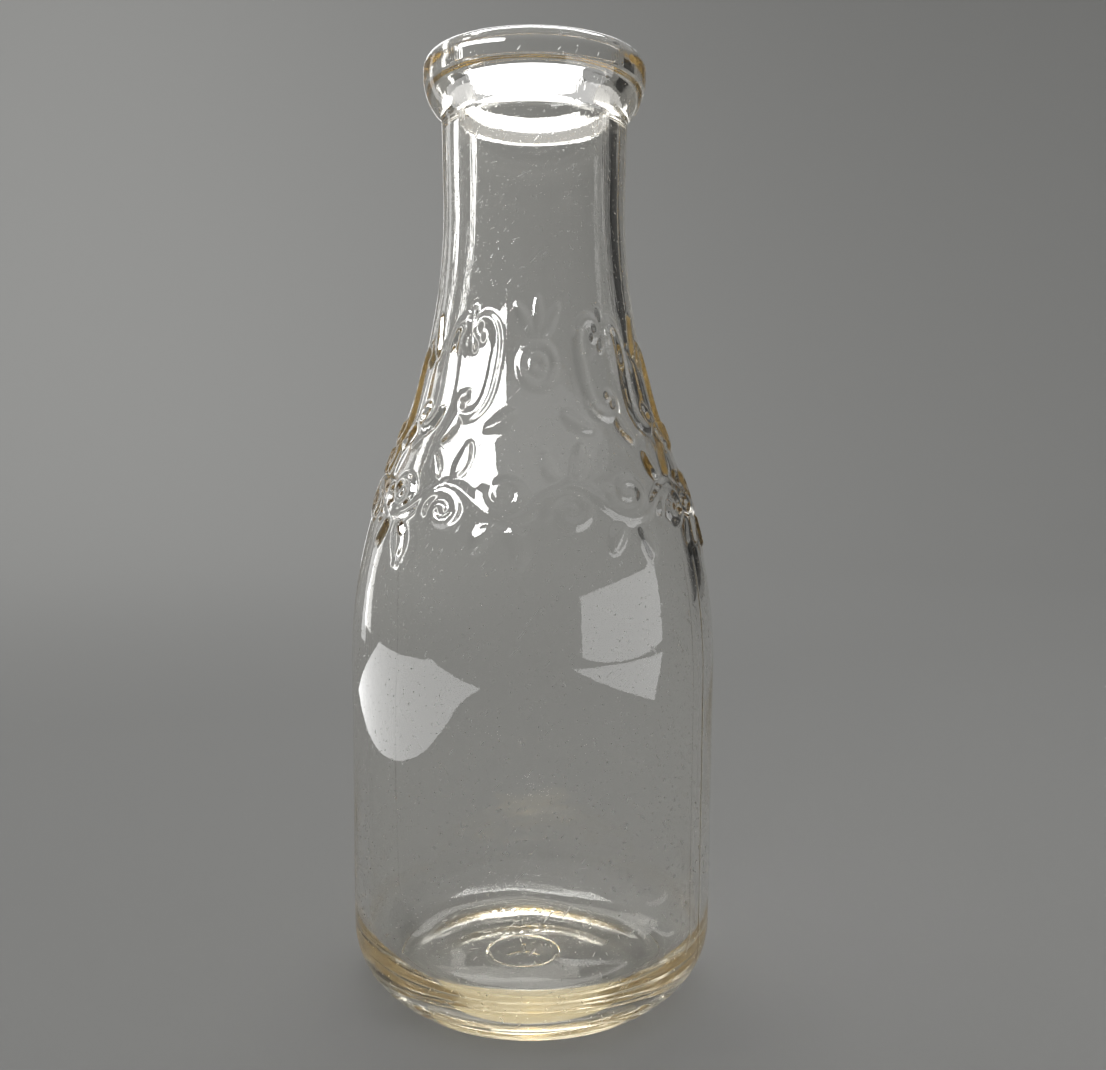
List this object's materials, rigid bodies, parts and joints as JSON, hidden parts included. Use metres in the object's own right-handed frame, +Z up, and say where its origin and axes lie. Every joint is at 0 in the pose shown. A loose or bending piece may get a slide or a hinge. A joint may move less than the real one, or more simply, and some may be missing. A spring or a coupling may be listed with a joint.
{
  "type": "glass milk bottle",
  "caption": "Clear moulded glass milk bottle with a straight body, a sloping shoulder, a heavy rolled lip and a ledge in the mouth for a pressed-in paper disc.",
  "frame": {"origin": "centre of the ring that the bottle stands on, on the surface it stands on", "axes": "+Z up along the bottle's axis, out of the mouth; -Y is the side with the ornament, which the picture shows; +X is the viewer's right"},
  "size_m": [0.097, 0.097, 0.2466],
  "materials": {
    "glass": "clear polished glass with a faint straw tint in the thick base"
  },
  "bodies": {
    "root": {"bottle": "glass"}
  },
  "joints": []
}
